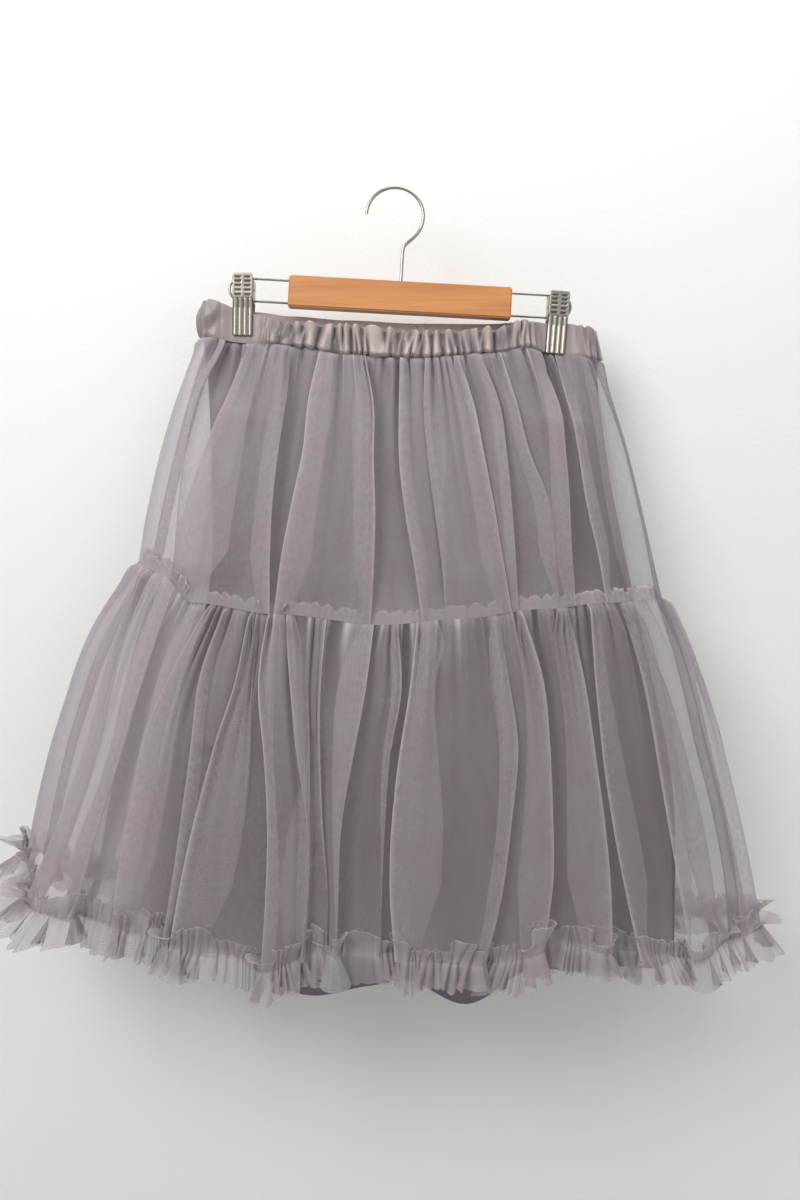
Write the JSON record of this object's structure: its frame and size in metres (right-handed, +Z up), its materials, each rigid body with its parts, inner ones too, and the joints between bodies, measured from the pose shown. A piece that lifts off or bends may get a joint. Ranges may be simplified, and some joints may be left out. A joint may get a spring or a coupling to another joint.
{
  "type": "ruffle skirt on a clip hanger",
  "caption": "Tiered tulle skirt with a gathered waistband, lining and ruffled hem, hung by clips from a short wooden hanger.",
  "frame": {"origin": "underside of the hook wire at its crown, where a rail or peg carries it", "axes": "+Z up, the front of the skirt faces -Y, +X to the right seen from the front"},
  "size_m": [0.6768, 0.1887, 0.7149],
  "materials": {
    "waistband_satin": "greyish mauve satin, soft sheen",
    "lining_satin": "mauve-grey satin lining",
    "tulle": "sheer greyish mauve tulle net",
    "varnished_wood": "orange-brown varnish",
    "nickel_plate": "polished nickel plate"
  },
  "bodies": {
    "root": {"waistband": "waistband_satin", "lining_front": "lining_satin", "lining_back": "lining_satin", "upper_tier_front": "tulle", "upper_tier_back": "tulle", "lower_tier_front": "tulle", "lower_tier_back": "tulle", "hem_ruffle_front": "tulle", "hem_ruffle_back": "tulle", "hanger_bar": "varnished_wood", "hook_wire": "nickel_plate", "rod_left": "nickel_plate", "rod_right": "nickel_plate", "clip_left_front": "nickel_plate", "clip_left_back": "nickel_plate", "clip_left_pin": "nickel_plate", "clip_right_front": "nickel_plate", "clip_right_back": "nickel_plate", "clip_right_pin": "nickel_plate"}
  },
  "joints": []
}
